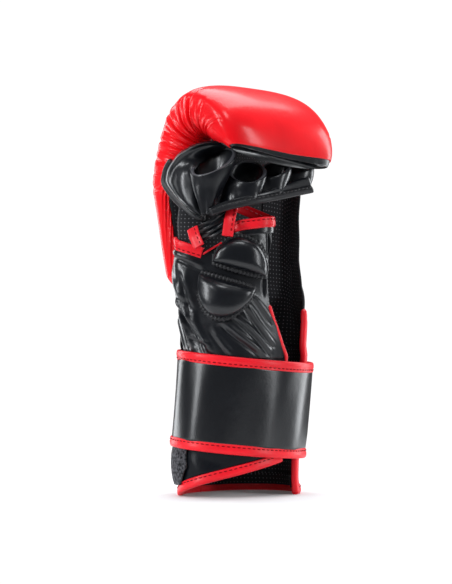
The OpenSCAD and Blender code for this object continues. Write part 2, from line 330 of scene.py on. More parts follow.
def build_mesh(name, points, faces, material, body, uv=None, replaces=()):
    mesh = bpy.data.meshes.new(name)
    mesh.from_pydata((np.asarray(points) * MM).tolist(), [], faces)
    mesh.polygons.foreach_set("use_smooth", [True] * len(mesh.polygons))
    if uv is not None:
        layer = mesh.uv_layers.new(name="cloth")
        corners = np.zeros(len(mesh.loops), dtype=np.int32)
        mesh.loops.foreach_get("vertex_index", corners)
        layer.data.foreach_set("uv", (np.asarray(uv)[corners] * 0.01).ravel())
    mesh.materials.append(material)
    mesh.update()
    piece = add_object(name, mesh)
    if isinstance(body, str):
        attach(piece, body)
    elif body is not None:
        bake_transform(piece)
    if replaces:
        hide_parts(*replaces)
    return piece


def grid_faces(rows, cols, wrap_rows=False, wrap_cols=False):
    faces = []
    for i in range(rows if wrap_rows else rows - 1):
        for j in range(cols if wrap_cols else cols - 1):
            a, b = i * cols + j, i * cols + (j + 1) % cols
            c, d = ((i + 1) % rows) * cols + (j + 1) % cols, ((i + 1) % rows) * cols + j
            faces.append((a, d, c, b))
    return faces


def grid_normals(grid):
    return unit(np.cross(np.gradient(grid, axis=0), np.gradient(grid, axis=1)))


def sheet(name, grid, thick, material, body, outward=1, **kw):
    """A closed sheet: the grid is its outer face, and its inner face lies thick mm behind it."""
    rows, cols = grid.shape[:2]
    inner = grid - grid_normals(grid) * outward * thick
    n = rows * cols
    top = grid_faces(rows, cols)
    under = [tuple(reversed([v + n for v in face])) for face in top]
    rim = [i * cols for i in range(rows)] + [(rows - 1) * cols + j for j in range(1, cols)]
    rim += [i * cols + cols - 1 for i in range(rows - 2, -1, -1)] + [j for j in range(cols - 2, 0, -1)]
    ends = zip(rim, rim[1:] + rim[:1])
    sides = [(b, a, a + n, b + n) for a, b in ends]
    faces = top + under + sides
    if outward < 0:
        faces = [tuple(reversed(face)) for face in faces]
    along, across = arc_lengths(grid)
    uv = np.stack(np.meshgrid(along, across, indexing="ij"), axis=-1).reshape(-1, 2)
    points = np.concatenate([grid.reshape(-1, 3), inner.reshape(-1, 3)])
    return build_mesh(name, points, faces, material, body, uv=np.concatenate([uv, uv]), **kw)


def sweep(name, path, out, up, section, material, body, closed=False, **kw):
    """A solid swept along path: section is a ring of (out, up) offsets in mm, or one ring for each point."""
    section = np.asarray(section, dtype=float)
    if section.ndim == 2:
        section = np.repeat(section[None], len(path), axis=0)
    rings = path[:, None] + out[:, None] * section[..., :1] + up[:, None] * section[..., 1:]
    count, sides = rings.shape[:2]
    faces = grid_faces(count, sides, wrap_rows=closed, wrap_cols=True)
    if not closed:
        faces += [tuple(range(sides)), tuple((count - 1) * sides + j for j in range(sides))[::-1]]
    if np.dot(np.cross(up[0], out[0]), path[1] - path[0]) < 0:
        faces = [tuple(reversed(face)) for face in faces]
    run = np.concatenate([[0], np.cumsum(np.linalg.norm(np.diff(path, axis=0), axis=1))])
    uv = np.stack([np.repeat(run, sides), np.tile(np.arange(sides) * 1.0, count)], axis=-1)
    return build_mesh(name, rings.reshape(-1, 3), faces, material, body, uv=uv, **kw)


def solid_sweep(name, rings, material, body, **kw):
    """A closed solid through rings of points, capped at both ends."""
    count, sides = rings.shape[:2]
    faces = grid_faces(count, sides, wrap_cols=True)
    faces += [tuple(range(sides))[::-1], tuple((count - 1) * sides + j for j in range(sides))]
    return build_mesh(name, rings.reshape(-1, 3), faces, material, body, **kw)


def tape_section(thick, height, groove=None, steps=28):
    """The rounded section of a folded tape, with a sewn groove along its outer face."""
    angle = np.linspace(0, 2 * np.pi, steps, endpoint=False)
    out = np.sign(np.cos(angle)) * np.abs(np.cos(angle)) ** 0.7 * thick / 2
    up = np.sign(np.sin(angle)) * np.abs(np.sin(angle)) ** 0.6 * height / 2
    if groove is not None:
        out = np.where(out > 0, out - 0.5 * np.exp(-(((up - groove) / 0.7) ** 2)), out)
    return np.stack([out, up], axis=-1)


def stitch_row(name, path, out, material, parent, length=2.2, pitch=3.6, radius=0.35):
    """Separate stitches along a path, each a small rounded thread lying on the surface."""
    run = np.concatenate([[0], np.cumsum(np.linalg.norm(np.diff(path, axis=0), axis=1))])
    points, faces = [], []
    ring = np.linspace(0, 2 * np.pi, 6, endpoint=False)
    for start in np.arange(1.0, run[-1] - length, pitch):
        a = np.array([np.interp(start, run, path[:, k]) for k in range(3)])
        b = np.array([np.interp(start + length, run, path[:, k]) for k in range(3)])
        normal = unit(np.array([np.interp(start, run, out[:, k]) for k in range(3)]))
        side = unit(np.cross(normal, b - a))
        first = len(points)
        for t, r in ((0, 0.35), (0.2, 1), (0.8, 1), (1, 0.35)):
            centre = a + (b - a) * t
            points += [centre + radius * r * (np.cos(q) * normal + np.sin(q) * side) for q in ring]
        faces += [tuple(first + v for v in face) for face in grid_faces(4, 6, wrap_cols=True)]
        faces += [tuple(first + j for j in range(6)), tuple(first + 18 + j for j in range(6))[::-1]]
    build_mesh(name, points, faces, material, None).parent = parent


def smooth_step(x, low, high):
    t = np.clip((x - low) / (high - low), 0, 1)
    return t * t * (3 - 2 * t)


def bell(x, width):
    return np.exp(-((x / width) ** 2))


# %% [markdown]
# ## The oval of the glove
# The wrist, cuff, strap and palm all lie on one oval tube. An angle round it starts at the middle of
# the palm and grows towards the little finger. Below, `oval` gives points and `oval_out` the way out of
# the surface.

# %% Oval
WIDTHS = ([0, 30, 103, 118, 160, 210], [wrist_w - x for x in (2, 2, 2, 0, 2, 1)])
PALM = ([0, 30, 103, 118, 150, 210], [wrist_d - x for x in (3, 1.5, 1.5, 0, 0, 3)])
BACK = ([0, 30, 103, 134, 210], [wrist_d - 3, wrist_d - 1.5, wrist_d - 1.5, 10, 8])


def oval(angle, z, off=0.0):
    a = np.radians(np.asarray(angle, dtype=float))
    z = np.asarray(z, dtype=float)
    half_w = np.interp(z, *WIDTHS)
    half_d = np.where(np.cos(a) > 0, np.interp(z, *PALM), np.interp(z, *BACK))
    half_w = half_w - 3.0 * np.maximum(np.sin(a), 0) * np.interp(z, [10, 45], [1, 0])
    lean = np.interp(z, [0, 12, 30, 95, 120], [0, -1.2, -1.9, 3.1, 0])
    x, y = (half_w + off) * np.sin(a) + lean * right.x, -(half_d + off) * np.cos(a) + lean * right.y
    return np.stack(np.broadcast_arrays(x, y, z), axis=-1)


def oval_out(angle, z):
    a = np.radians(np.asarray(angle, dtype=float))
    half_d = np.where(np.cos(a) > 0, np.interp(z, *PALM), np.interp(z, *BACK))
    flat = np.stack(np.broadcast_arrays(np.sin(a) * half_d, -np.cos(a) * np.interp(z, *WIDTHS), 0.0 * a),
                    axis=-1)
    return unit(flat)


def raised(angle, z, off, lift):
    """The oval with a lift along the way out."""
    return oval(angle, z, off) + oval_out(angle, z) * lift[..., None]


def slanted(points):
    """The strap hangs a little lower on the little finger side."""
    lowered = points.copy()
    lowered[..., 2] += -0.080 * points[..., 0] + 0.066 * points[..., 1]
    return lowered


UP = np.array([0.0, 0.0, 1.0])


def upwards(v):
    return np.where((v @ UP)[:, None] < 0, -v, v)


rng = np.random.default_rng(7)


# %% [markdown]
# ## The padding
# The shell over the hand is one long foam pad, bent over the knuckles and curled towards the palm. Its
# section is an oblong with round ends, swept along a line that climbs the back of the hand and then
# follows part of an ellipse. The red cover wraps the outside and both ends of that section, the lining
# closes the inner side, and the leather is gathered where it has to turn the corner, so creases fan out
# from the rim.

# %% Padding: swept section
PAD_T = 17.0
CURL_RISE = 51.0
CURL_REACH = 36.0
CURL_ANGLE = 150.0
FOOT_LEAN = 4.0
SIDE_DROP = 0.1
curl_y = knuckle[1] - CURL_REACH


def end_round(s):
    reach = np.where(s < 0, 0.16, 0.22)
    return np.sqrt(np.maximum(0.05, 1 - np.maximum(0, (np.abs(s) - 0.84) / reach) ** 2))


def pad_grid(s, t, inset=0.0):
    """Points of the padding: s is -1 at the foot, 0 at the knuckles and 1 at the fingertips, t goes round."""
    s = np.asarray(s, dtype=float)
    s = s[:, None] if s.ndim == 1 else s
    a = np.radians(CURL_ANGLE) * np.maximum(s, 0)
    low = s < 0
    y = np.where(low, knuckle[1] + FOOT_LEAN * s, curl_y + CURL_REACH * np.cos(a))
    z = np.where(low, knuckle[2] + (knuckle[2] - pad_foot) * s, knuckle[2] + CURL_RISE * np.sin(a))
    ny = np.where(low, 1.0, np.cos(a) / CURL_REACH)
    nz = np.where(low, 0.0, np.sin(a) / CURL_RISE)
    length = np.hypot(ny, nz)
    half_w = np.where(low, pad_w + (pad_w - 42) * s, pad_w + (50 - pad_w) * s * s)
    half_w = half_w * (0.75 + 0.25 * end_round(s))
    half_t = np.where(low, PAD_T + (PAD_T - 12) * s, PAD_T + (14 - PAD_T) * s * s) * end_round(s)
    t = np.radians(np.asarray(t, dtype=float))
    t = t[None] if t.ndim == 1 else t
    c, w = np.cos(t), np.sin(t)
    x = (half_w - inset) * np.sign(c) * np.abs(c) ** 0.72
    at_bend = smooth_step(s, -0.08, 0.25) * (1 - smooth_step(s, 0.86, 1.1))
    fuller = 1 + 0.62 * at_bend * smooth_step(-c, 0.05, 0.75)
    fuller = np.where(w < 0, fuller, 1.0)
    h = np.maximum(1.0, half_t * fuller - inset) * np.sign(w) * np.abs(w) ** 0.8
    droop = 0.045 * (x + 50) + 4.0 * np.cos(np.clip(x / 36, -1.5, 1.5))
    drop = SIDE_DROP * np.maximum(s, 0) * x + smooth_step(s, 0.45, 1.0) * droop
    return np.stack([x + 0 * h, y + ny / length * h, z + nz / length * h - drop], axis=-1)


def crease(along, across, start, slope, length, width, depth, bend=0.0):
    """One crease of gathered leather: a valley between two soft ridges, fading out across the sheet."""
    middle = start + slope * across + bend * np.sin(across / 9.0)
    reach = np.clip(1 - across / length, 0, 1) ** 1.1 * smooth_step(across, -0.5, 1.5)
    x = (along - middle) / (width * (1 + across / 60.0))
    return depth * reach * (0.4 * bell(np.abs(x) - 2.0, 1.2) - bell(x, 1.0))


def rim_angle(s):
    """How far the red cover wraps round the edge of the section; most at the bend."""
    s = np.asarray(s, dtype=float)
    return (27.0 + 38.0 * smooth_step(s, -0.08, 0.3) * (1 - smooth_step(s, 0.82, 0.99)))[:, None]


RED_END = 1.0
LONG_CREASES, SHORT_CREASES = 13, 9
pad_bend = ("hand", "fingers", np.array([0, knuckle[1], 196.0]), np.array([0, knuckle[1] - 10, 226.0]))
rows = np.concatenate([np.linspace(-0.995, 0.02, 150), np.linspace(0.024, RED_END, 270)])
turn_part = np.linspace(0, 1, 200)[None]
cols = 180 + rim_angle(rows) - (180 + 2 * rim_angle(rows)) * turn_part
far_side = 0.5 + 0.5 * np.cos(np.radians(cols))
edge_shift = (0.028 - 0.022 * far_side) * smooth_step(rows, 0.5, RED_END)[:, None]
cover = pad_grid(rows[:, None] + edge_shift, cols)
near_knuckle = bell(rows - 0.01, 0.09)[1:-1, None, None]
for _ in range(160):
    cover[1:-1] += 0.8 * near_knuckle * ((cover[:-2] + cover[2:]) / 2 - cover[1:-1])
along, across = arc_lengths(cover)
along = along[:, None] - np.interp(0, rows, along)
lift = np.zeros(cover.shape[:2])
for side in (0, 1):
    run = (across if side == 0 else across[-1] - across)[None]
    for k in range(LONG_CREASES):
        start = 98 * (k + rng.uniform(-0.3, 0.3)) / LONG_CREASES
        length = rng.uniform(24, 34) + rng.uniform(8, 34) * bell(start - 44, 28)
        depth = rng.uniform(1.9, 2.7) + 1.2 * bell(start - 44, 24)
        slope = 0.22 + 0.006 * (start - 45) + rng.uniform(-0.15, 0.15)
        lift += crease(along, run, start, slope, length, rng.uniform(0.75, 1.15), depth, rng.uniform(-3, 3))
    for k in range(SHORT_CREASES):
        start = 4 + 90 * (k + rng.uniform(-0.3, 0.3)) / SHORT_CREASES
        lift += crease(along, run, start, rng.uniform(-0.3, 0.3), rng.uniform(12, 20), 0.7, 1.0, 0.0)
    for k in range(SHORT_CREASES):
        start, slope = -74 + 78 * (k + rng.uniform(-0.3, 0.3)) / SHORT_CREASES, rng.uniform(-0.8, 0.2)
        lift += crease(along, run, start, slope, rng.uniform(6, 11), 0.9, rng.uniform(0.2, 0.4), 0.0)
    for k in range(SHORT_CREASES):
        start, slope = -52 + 8.5 * k + rng.uniform(-3, 3), rng.uniform(-4.5, -2.5)
        lift += crease(along, run, start, slope, rng.uniform(12, 18), -1.0 * slope, 0.6, 2.0)
    lift += 0.08 * np.sin(along * 2.1 + side) * bell(run, 3.5) * smooth_step(84 - np.abs(along + 4), 0, 20)
for k in range(6):
    start, at, tilt = rng.uniform(-60, 10), rng.uniform(26, across[-1] - 26), rng.uniform(-0.2, 0.2)
    x = (across[None] - at - tilt * (along - start)) / rng.uniform(2.4, 4.0)
    lift += 0.25 * (0.5 * bell(np.abs(x) - 1.7, 0.9) - bell(x, 1.0)) * bell(along - start, rng.uniform(9, 20))
lift -= 3.2 * bell(along - 20, 42) * bell(across[None] - 34, 24)
lift += 0.5 * np.sin(along / 11.0 + 1.5 * np.sin(across[None] / 17.0)) * bell(along - 5, 40)
cover = cover + grid_normals(cover) * lift[..., None]
padding_cover = sheet("padding_cover", cover, 1.3, red_leather, pad_bend,
                      replaces=("hand_pad_cover", "finger_pad_cover"))
print("padding cover:", len(padding_cover.data.vertices), "points, section", round(across[-1]), "mm round")

# %% [markdown]
# The lining closes the hollow side of the pad. The black nose carries on past the red cover at the
# fingertips and turns the edge under. The foam inside follows the same sweep, a few millimetres in.

# %% Lining, fingertip edge and foam
lining_rows = np.linspace(-0.98, RED_END, 150)
inner_part = np.linspace(0, 1, 60)[None]
lining_cols = -rim_angle(lining_rows) - 1 + (2 * rim_angle(lining_rows) + 2 - 180) * inner_part
lining = pad_grid(lining_rows, lining_cols, 0.6)
sheet("padding_lining", lining, 1.2, lining_mesh, pad_bend,
      replaces=("hand_pad_lining", "finger_pad_lining"))
nose = pad_grid(np.linspace(RED_END - 0.03, 1.035, 26), np.linspace(0, 360, 120, endpoint=False)[::-1], 0.9)
solid_sweep("fingertip_edge", nose, black_leather, "fingers", replaces=("fingertip_band",))
core = pad_grid(np.linspace(-0.95, 0.9, 60), np.linspace(0, 360, 64, endpoint=False)[::-1], 4.2)
padding_foam = solid_sweep("padding_foam", core, foam, pad_bend,
                           replaces=("hand_pad_foam", "knuckle_foam", "finger_pad_foam"))
print("lining, nose and foam made")

# %% [markdown]
# ## Cuff
# The cuff is two walls of leather with the mesh lining inside. The thumb-side flap is cut away towards
# the slit, and a red tape is folded over every free edge. Tape is a rounded section swept along the
# edge, with a sewn groove.

# %% Cuff walls and lining
RIM_H = 5.0
SLIT_NEAR, SLIT_FAR, SEAM = 8.0, 37.0, -165.0
SEAM_END = SEAM + 359.6
NEAR_EDGE = ([0, 96, 128, 147, 181], [10, 7, -7, -10, -3])
FAR_EDGE = ([0, 100, 124, 142, 205], [37, 40, 50, 73, 75])


def flap_low(angle):
    return np.where(angle < -120, 0.0, 23.0 * (angle + 120) / (SLIT_NEAR + 120))


def wall(name, angles, low, high, off, thick, material, lift=None, steps=40, edge=None, **kw):
    """A wall on the oval between two heights, whose start may follow an edge."""
    v = np.linspace(0, 1, steps)[None]
    z = low[:, None] + (high - low)[:, None] * v if np.ndim(low) else low + (high - low) * v
    z = np.broadcast_to(z, (len(angles), steps))
    turn = np.broadcast_to(angles[:, None], z.shape)
    if edge is not None:
        narrower = (angles[-1] - np.interp(z, *edge)) / (angles[-1] - angles[0])
        turn = angles[-1] + (turn - angles[-1]) * narrower
    grid = oval(turn, z, off) if lift is None else raised(turn, z, off, lift(turn, z))
    sheet(name, grid, thick, material, "hand", **kw)


def flap_waves(angle, z):
    waves = 0.7 * np.sin(angle / 9.0 + z / 5.0) * bell(z - 22, 14) + 0.5 * np.sin(angle / 23.0 + z / 11.0)
    return waves * smooth_step(z - flap_low(angle), 6, 16)


near = np.linspace(SEAM, SLIT_NEAR, 110)
far = np.linspace(SLIT_FAR, SEAM_END, 100)
wall("cuff_flap_near", near, flap_low(near) + 6.0, near * 0 + cuff_top, 0, 1.5, cuff_leather,
     lift=flap_waves, replaces=("cuff_thumb_side",))
wall("cuff_wall_far", far, far * 0 + 6.0, far * 0 + cuff_top, 0, 1.5, cuff_leather, edge=FAR_EDGE,
     replaces=("cuff_finger_side",))
wall("cuff_inside_near", near, flap_low(near) + RIM_H * 0.6, near * 0 + cuff_top, -1.7, 1.4, lining_mesh,
     lift=flap_waves, replaces=("cuff_lining",))
wall("cuff_inside_far", far, far * 0 + RIM_H * 0.6, far * 0 + cuff_top, -1.7, 1.4, lining_mesh, edge=FAR_EDGE)
wall("cuff_inside_hem", far, far * 0 + 4.6, far * 0 + 12, -3.7, 1.0, lining_mesh)


# %% Tape along an edge of the oval
def oval_tape(name, angles, heights, off, thick, height, body="hand", groove=None, lean=False, **kw):
    """Folded tape on the oval, with its stitches in the groove."""
    path, out = oval(angles, heights, off), oval_out(angles, heights)
    if lean:
        path = slanted(path)
    up = upwards(unit(np.cross(heading(path), out)) * -1.0)
    piece = sweep(name, path, out, up, tape_section(thick, height, groove), red_tape, body, **kw)
    if groove is not None:
        line = path + out * (thick / 2 - 0.32) + up * groove
        stitch_row(name + "_stitches", line, out, thread_red, piece)


dense_near = np.linspace(SEAM, SLIT_NEAR + 2, 150)
dense_far = np.linspace(SLIT_FAR - 1, SEAM_END, 140)
oval_tape("cuff_rim_near", dense_near, flap_low(dense_near) + 3.4, -0.9, 4.6, 6.8, groove=1.6,
          replaces=("cuff_rim_thumb_side",))
oval_tape("cuff_rim_far", dense_far, dense_far * 0 + 3.4, -1.2, 4.6, 6.8, groove=1.6,
          replaces=("cuff_rim_finger_side",))
print("cuff sewn, wall height", cuff_top)

# %% [markdown]
# ## Slit and loop panel
# The slit lets the hand in. Its edges carry the same tape, standing upright. Behind the wrist the cuff
# has a panel of woven loops for the strap's hook patch, with a nap that is rough in its material and in
# its edge.

# %% Slit tapes and loop panel
def upright_tape(name, z0, z1, edge, off, thick, wide, **kw):
    z = np.linspace(z0, z1, 90)
    angle = np.interp(z, *edge)
    path, out = oval(angle, z, off), oval_out(angle, z)
    ends = np.sqrt(np.clip(1 - (np.abs(np.linspace(-1, 1, 90)) - 0.96).clip(0) ** 2 / 0.04 ** 2, 0.2, 1))
    section = tape_section(thick, wide)[None] * ends[:, None, None]
    sweep(name, path, out, unit(np.cross(out, heading(path))), section, red_tape, "hand", **kw)


upright_tape("slit_tape_near", 29, 130, NEAR_EDGE, -0.8, 4.0, 3.0, replaces=("slit_binding_near",))
upright_tape("slit_tape_far", 1.5, 126, FAR_EDGE, -0.8, 4.4, 6.0, replaces=("slit_binding_far",))


def pile_waves(angle, z):
    nap = 0.1 * np.sin(angle * 7.3 + z * 5.1) * np.sin(z * 3.7 - angle * 2.9)
    return nap + 3 * bell(angle - 246, 20) * bell(z - 20, 16)


panel_angles = np.linspace(101, 273, 150)
panel_low = RIM_H + 3 + 12 * smooth_step(panel_angles, 255, 273) ** 2
wall("loop_pile_panel", panel_angles, panel_low, panel_angles * 0 + cuff_top - 9, 1.35, 1.1, pile,
     lift=pile_waves, steps=60, replaces=("loop_panel",))

# %% [markdown]
# ## Strap
# The strap is a stiff leather band with red tape along both edges and a free tail at the back. It rides
# on two bodies: the fixed part on the hand, the tail on its own hinge.

# %% Strap
STRAP_W = 66.0
STRAP_MID = 62.0
strap_low, strap_high = STRAP_MID - STRAP_W / 2, STRAP_MID + STRAP_W / 2
EDGE = 7.0


def strap_part(name, first, last, off, body, nodes):
    angles = np.linspace(first, last, int(abs(last - first)) + 2)
    z = np.linspace(strap_low + EDGE * 0.88, strap_high - EDGE * 0.88, 40)
    turn, height = np.meshgrid(angles, z, indexing="ij")
    wave = 0.7 * np.sin(turn / 13.0 + height / 31.0) + 0.3 * np.sin(turn / 5.3 - height / 17.0)
    grid = slanted(oval(turn, height, off) + oval_out(turn, height) * wave[..., None] * 0.6)
    sheet(name, grid, 1.9, strap_leather, body, replaces=(nodes[0],))
    for edge, z_edge, groove, node in (("top", strap_high - EDGE / 2, -1.7, nodes[1]),
                                       ("bottom", strap_low + EDGE / 2, 1.7, nodes[2])):
        oval_tape(f"{name}_tape_{edge}", angles, angles * 0 + z_edge, off - 0.85, 3.3, EDGE, body=body,
                  groove=groove, lean=True, replaces=(node,))


strap_part("strap_wrap", -150, 92.4, 3.8, "hand", ("strap_band", "strap_top_binding", "strap_bottom_binding"))
strap_part("strap_tail_band", 97.6, 203, 4.4, "strap_tail",
           ("strap_tail", "tail_top_binding", "tail_bottom_binding"))
end_z = np.linspace(strap_low + 0.5, strap_high - 0.5, 50)
end_path = slanted(oval(end_z * 0 + 204.5, end_z, 3.5))
end_out = oval_out(end_z * 0 + 204.5, end_z)
sweep("strap_tail_end_tape", end_path, end_out, unit(np.cross(end_out, heading(end_path))),
      tape_section(3.3, 6.0), red_tape, "strap_tail", replaces=("tail_end_binding",))
hook_turn, hook_z = np.meshgrid(np.linspace(150, 196, 60), np.linspace(strap_low + 11, strap_high - 11, 40),
                                indexing="ij")
hook_grid = slanted(oval(hook_turn, hook_z, 2.45) + oval_out(hook_turn, hook_z)
                    * rng.uniform(0, 0.25, (60, 40, 1)))
sheet("hook_tape_patch", hook_grid, 0.6, hooks, "strap_tail", replaces=("hook_patch",))
print("strap from", strap_low, "to", strap_high)


# %% [markdown]
# ## Palm heel
# One panel of soft black leather covers the ball of the thumb and carries two stuffed pads. Soft
# leather under a tight strap pulls into long folds, so each fold is drawn as a ridge along a short line
# on the panel, placed by angle and height.


# %% Fold helper and palm heel panel
DEG_MM = 0.78


def ridge_lines(angle, z, lines):
    """Height of folds (angle, z, angle, z, width, height), each a soft ridge with a sharper valley."""
    total = np.zeros(np.shape(angle))
    x, y = angle * DEG_MM, z
    for a0, z0, a1, z1, width, height in lines:
        start = np.array([a0 * DEG_MM, z0])
        step = np.array([a1 * DEG_MM, z1]) - start
        length = np.hypot(*step)
        ahead = ((x - start[0]) * step[0] + (y - start[1]) * step[1]) / length
        aside = ((x - start[0]) * step[1] - (y - start[1]) * step[0]) / length
        aside = aside + 1.2 * np.sin(ahead / 9.0 + a0)
        fade = smooth_step(ahead, -4, 6) * (1 - smooth_step(ahead, length - 6, length + 4))
        total += height * fade * (bell(aside, width) - 0.7 * bell(aside - 1.7 * width, 0.6 * width))
    return total


HEEL_BACK = -122
HEEL_TOP = ([-121, -60, -25, 0], [167, 168, 180, 181])
heel_v = np.linspace(0, 1, 170)[None]
heel_u = np.linspace(0, 1, 200)[:, None]
heel_edge = np.interp(cuff_top - 6 + 86 * heel_v, *NEAR_EDGE)
heel_angle = HEEL_BACK + (heel_edge - HEEL_BACK) * heel_u
heel_z = (cuff_top - 6) + (np.interp(heel_angle, *HEEL_TOP) - cuff_top + 6) * heel_v
HEEL_FOLDS = [
    (-46, 119, -20, 98, 2.2, 1.5), (-38, 124, -10, 99, 1.7, 1.4), (-30, 130, -4, 104, 1.6, 1.3),
    (-24, 136, -6, 120, 1.3, 1.0), (-60, 114, -44, 99, 2.4, 1.1), (-84, 128, -70, 99, 2.6, 1.2),
    (-118, 163, -84, 134, 3.0, 2.2), (-108, 146, -82, 118, 2.6, 2.0), (-100, 166, -70, 157, 2.2, 1.5),
    (-98, 134, -88, 102, 2.8, 2.2), (-86, 152, -76, 128, 2.4, 1.6), (-78, 126, -66, 100, 2.2, 1.4),
    (-14, 172, -8, 150, 1.4, 1.2), (-10, 160, -9, 138, 1.2, 1.0),
    (-90, 112, -66, 104, 1.6, 0.7), (-116, 124, -104, 100, 2.2, 1.3), (-6, 178, -7, 164, 1.2, 0.9),
]
heel_lift = ridge_lines(heel_angle, heel_z, HEEL_FOLDS)
heel_lift += 0.35 * np.sin(heel_angle / 6.0 + heel_z / 4.3) + 0.8 * np.sin(heel_z / 15.0 - heel_angle / 25.0)
heel_lift += 0.8 * bell(heel_z - cuff_top, 9)
heel_lift += 8.5 * smooth_step(-heel_angle, 60, 96) * smooth_step(heel_z, 100, 160)
heel = raised(heel_angle, heel_z, 0.0, heel_lift)
sheet("palm_heel_leather", heel, 1.6, black_leather, "hand", replaces=("palm_heel_panel",))
print("heel folds:", len(HEEL_FOLDS))

# %% [markdown]
# Each pad is a D: one straight side along the channel between the two pads and one round side. It rises
# steeply from its seam and is nearly flat on top, as stuffed leather is. Round it the seam is drawn in
# by its stitches, so the gathers are a small rounded cord whose thickness beats with the stitch pitch.


# %% Palm pads
def d_point(start, end, bulge, u, v):
    """A point of a D: u along the straight side from start to end (angle, z), v towards the round side."""
    a, b = np.array([start[0] * DEG_MM, start[1]]), np.array([end[0] * DEG_MM, end[1]])
    side = np.array([-(b - a)[1], (b - a)[0]]) / np.hypot(*(b - a))
    depth = bulge * (1 - np.abs(2 * u - 1) ** 2.3) ** 0.62
    point = a + (b - a) * u[..., None] + side * (v * depth)[..., None]
    return point[..., 0] / DEG_MM, point[..., 1]


def palm_pad(name, start, end, bulge, high, node, foam_node):
    u = 0.5 - 0.5 * np.cos(np.linspace(0.06, np.pi - 0.06, 60))[:, None]
    v = np.linspace(0, 1, 50)[None]
    uu, vv = np.broadcast_arrays(u, v)
    angle, z = d_point(start, end, bulge, uu, vv)
    dome = (np.clip(1 - np.abs(2 * vv - 1) ** 3.2, 0, 1) ** 0.5) * np.clip(4 * uu * (1 - uu), 0, 1) ** 0.35
    dome = dome * (1 + 0.06 * np.sin(angle / 5) - 0.12 * (vv - 0.5))
    grid = raised(angle, z, 0.5, high * dome)
    outward = 1 if bulge > 0 else -1
    pad = sheet(name, grid, 1.2, black_leather, "hand", outward=outward, replaces=(node,))
    core = raised(angle, z, 0.2, (high - 2.6) * dome)
    centre = core.mean(axis=(0, 1))
    core = centre + (core - centre) * 0.93
    sheet(name.replace("cover", "foam"), core, 1.0, foam, "hand", outward=outward, replaces=(foam_node,))
    ring_u = np.concatenate([np.linspace(0.01, 0.99, 70), np.linspace(0.99, 0.01, 90)])
    ring_v = np.concatenate([np.full(70, -0.04), np.full(90, 1.03)])
    ring_angle, ring_z = d_point(start, end, bulge, ring_u, ring_v)
    path, out = oval(ring_angle, ring_z, 1.1), oval_out(ring_angle, ring_z)
    run = np.concatenate([[0], np.cumsum(np.linalg.norm(np.diff(path, axis=0), axis=1))])
    fine = np.arange(0, run[-1], 0.55)
    path = np.stack([np.interp(fine, run, path[:, k]) for k in range(3)], axis=-1)
    out = unit(np.stack([np.interp(fine, run, out[:, k]) for k in range(3)], axis=-1))
    pucker = 0.7 + 0.6 * np.abs(np.sin(fine * np.pi / 2.6))
    section = tape_section(2.2, 3.0, steps=12)[None] * pucker[:, None, None]
    across_path = unit(np.cross(out, heading(path)))
    sweep(name + "_gathered_seam", path, out, across_path, section, black_tape, None,
          closed=True).parent = pad
    stitch_row(name + "_stitches", path + out * 0.9, out, thread_black, pad, length=1.5, pitch=2.6,
               radius=0.4)


upper_start, upper_end = (-60, 159), (-13, 149)
lower_start, lower_end = (-72, 152), (-22, 141)
palm_pad("upper_palm_pad_cover", upper_start, upper_end, 22.0, 8.0, "upper_palm_pad", "upper_pad_foam")
palm_pad("lower_palm_pad_cover", lower_start, lower_end, -25.0, 9.0, "lower_palm_pad", "lower_pad_foam")
print("palm pads stuffed and sewn")

# %% [markdown]
# ## Walls of the hand
# Behind the open palm the mesh-lined wall on the little finger side runs up to the padding. On the
# thumb side a mesh gusset fills the gap under the index finger. At the back of the wrist the leather is
# laid in pleats so that it can bend.

# %% Side wall, gusset and wrist pleats
side_v = np.linspace(0, 1, 90)[None]
side_u = np.linspace(0, 1, 60)[:, None]
side_z = (cuff_top - 4) + np.interp(side_u, [0, 0.25, 0.6, 1], [109, 111, 124, 128]) * side_v
side_start = np.interp(side_z, *FAR_EDGE)
side_angle = side_start + (150 - side_start) * side_u
side_lift = 0.5 * np.sin(side_z / 13.0 + side_angle / 20.0) + 0.3 * np.sin(side_z / 5.0 - side_angle / 9.0)
side = raised(side_angle, side_z, -0.5, side_lift)
sheet("side_wall", side, 1.6, lining_mesh, pad_bend, replaces=("little_finger_wall",))

back_u = np.linspace(0, 1, 150)[:, None]
back_z = (cuff_top - 4) + 68 * np.linspace(0, 1, 60)[None] + 0 * back_u
back_angle = 126 + 114 * back_u + 0 * back_z
pleat = np.abs(np.sin(np.radians(back_angle - 126) * 7.5 + back_z / 40.0)) ** 0.7
back_lift = (1.9 * pleat - 0.6) * bell(back_z - 116, 26)
wrist_leather = raised(back_angle, back_z, 0.4, back_lift)
sheet("wrist_pleats", wrist_leather, 1.5, black_leather, "hand", replaces=("wrist_panel",))

gusset_angle = np.linspace(-134, -68, 60)[:, None] + np.zeros((1, 50))
gusset_z = 168 + 46 * np.linspace(0, 1, 50)[None] + 0 * gusset_angle
gusset_lift = 7.5 * smooth_step(-gusset_angle, 60, 96) - 1.2
gusset_lift = gusset_lift + 0.6 * np.sin(gusset_z / 7.0 + gusset_angle / 15.0)
gusset_lift = gusset_lift - 2.0 * bell(gusset_z - 205, 14)
gusset = raised(gusset_angle, gusset_z, 0.0, gusset_lift)
sheet("thumb_side_gusset", gusset, 1.3, lining_mesh, pad_bend, replaces=("thumb_gusset",))
binding_angle = np.linspace(-107, -69, 90)
binding_z = np.interp(binding_angle, [-107, -90, -69], [172.5, 170.0, 165.0])
binding_off = 1.0 + 7.6 * smooth_step(-binding_angle, 60, 96)
oval_tape("side_opening_tape", binding_angle, binding_z, binding_off, 3.2, 7.5, groove=-1.8,
          replaces=("gusset_binding",))
edge_angle = np.linspace(-72, -50, 40)
edge_z = np.interp(edge_angle, [-72, -50], [163, 172])
